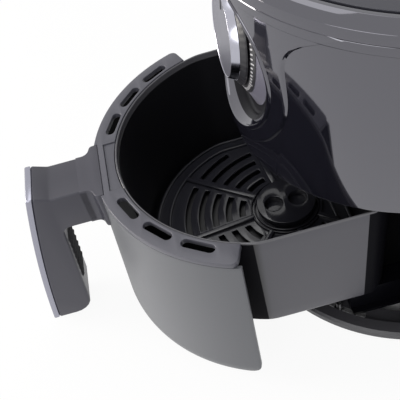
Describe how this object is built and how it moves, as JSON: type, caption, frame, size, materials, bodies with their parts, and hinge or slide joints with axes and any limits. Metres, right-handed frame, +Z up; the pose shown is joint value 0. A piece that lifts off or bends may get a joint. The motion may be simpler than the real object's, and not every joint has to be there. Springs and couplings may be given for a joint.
{
  "type": "air fryer",
  "caption": "Round countertop air fryer with a tilted top, a recessed timer dial and a pull-out pan with crisper tray, slotted flange, curved front and upright handle.",
  "frame": {"origin": "on the table, under the middle of the box round the whole part with its drawer out as in the picture; the housing's upright axis stands 92.5 mm behind it", "axes": "+Z up; the drawer pulls out and the dial faces along -Y; +X to the right of someone facing the dial"},
  "size_m": [0.271, 0.463, 0.3039],
  "materials": {
    "gloss_black": "piano-black gloss plastic",
    "satin_grey": "satin dark-grey plastic",
    "top_grey": "smooth dark-grey plastic",
    "dark_plastic": "fine-grained dark plastic",
    "bright_chrome": "bright plated trim",
    "brushed_grey": "circular brushed disc",
    "scale_print": "dark ring with printed dots",
    "coated_pan": "dark non-stick coating",
    "coated_tray": "glossy non-stick coating",
    "sheet_steel": "plain pressed sheet",
    "heater_steel": "heat-stained tube",
    "screw_steel": "plain screws",
    "soft_rubber": "soft matt rubber",
    "fan_aluminium": "pressed aluminium",
    "motor_metal": "painted motor can",
    "pale_plastic": "heat-proof pale plastic"
  },
  "bodies": {
    "housing": {"upper_housing": "gloss_black", "top_hood": "gloss_black", "dial_collar": "gloss_black", "dial_dish": "gloss_black", "lower_housing": "satin_grey", "top_panel": "top_grey", "base_plate": "dark_plastic", "drawer_bay": "dark_plastic", "drawer_runners": "dark_plastic", "exhaust_grille": "dark_plastic", "dial_scale": "scale_print", "chamber_liner": "sheet_steel", "heat_shield": "sheet_steel", "heater_guard": "sheet_steel", "motor_bracket": "sheet_steel", "switch_bracket": "sheet_steel", "heater_element": "heater_steel", "base_screws": "screw_steel", "rubber_feet": "soft_rubber", "cord_gland": "soft_rubber", "motor": "motor_metal", "thermal_cutout": "motor_metal", "terminal_block": "pale_plastic", "timer_unit": "pale_plastic", "interlock_switch": "pale_plastic"},
    "drawer": {"pan": "coated_pan", "drawer_flange": "satin_grey", "drawer_front": "satin_grey", "screw_cover": "satin_grey", "handle_shell": "satin_grey", "handle_screws": "screw_steel", "handle_trim": "bright_chrome", "grip_strip": "soft_rubber"},
    "tray": {"crisper_tray": "coated_tray", "tray_puck": "dark_plastic", "tray_bumpers": "soft_rubber"},
    "dial": {"timer_knob": "dark_plastic", "knob_ring": "bright_chrome", "knob_face": "brushed_grey", "timer_spindle": "sheet_steel"},
    "rotor": {"motor_shaft": "sheet_steel", "convection_fan": "fan_aluminium", "cooling_fan": "dark_plastic"},
    "plunger": {"switch_plunger": "pale_plastic"}
  },
  "joints": [
    {"name": "drawer_slide", "type": "slide", "parent": "housing", "child": "drawer", "axis": [0, -1, 0], "range_m": [-0.11, 0.03]},
    {"name": "tray_lift", "type": "slide", "parent": "drawer", "child": "tray", "axis": [0, 0, 1], "range_m": [0, 0.06]},
    {"name": "timer_turn", "type": "hinge", "parent": "housing", "child": "dial", "pos_m": [0, -0.0375, 0.2365], "axis": [0, -0.9932, 0.1167], "range_deg": [-300, 0]},
    {"name": "fan_spin", "type": "hinge", "parent": "housing", "child": "rotor", "pos_m": [0, 0.0925, 0.22], "axis": [0, 0, 1], "continuous": true},
    {"name": "switch_press", "type": "slide", "parent": "housing", "child": "plunger", "axis": [0, 1, 0], "range_m": [0, 0.003], "stiffness_N_per_m": 300}
  ]
}
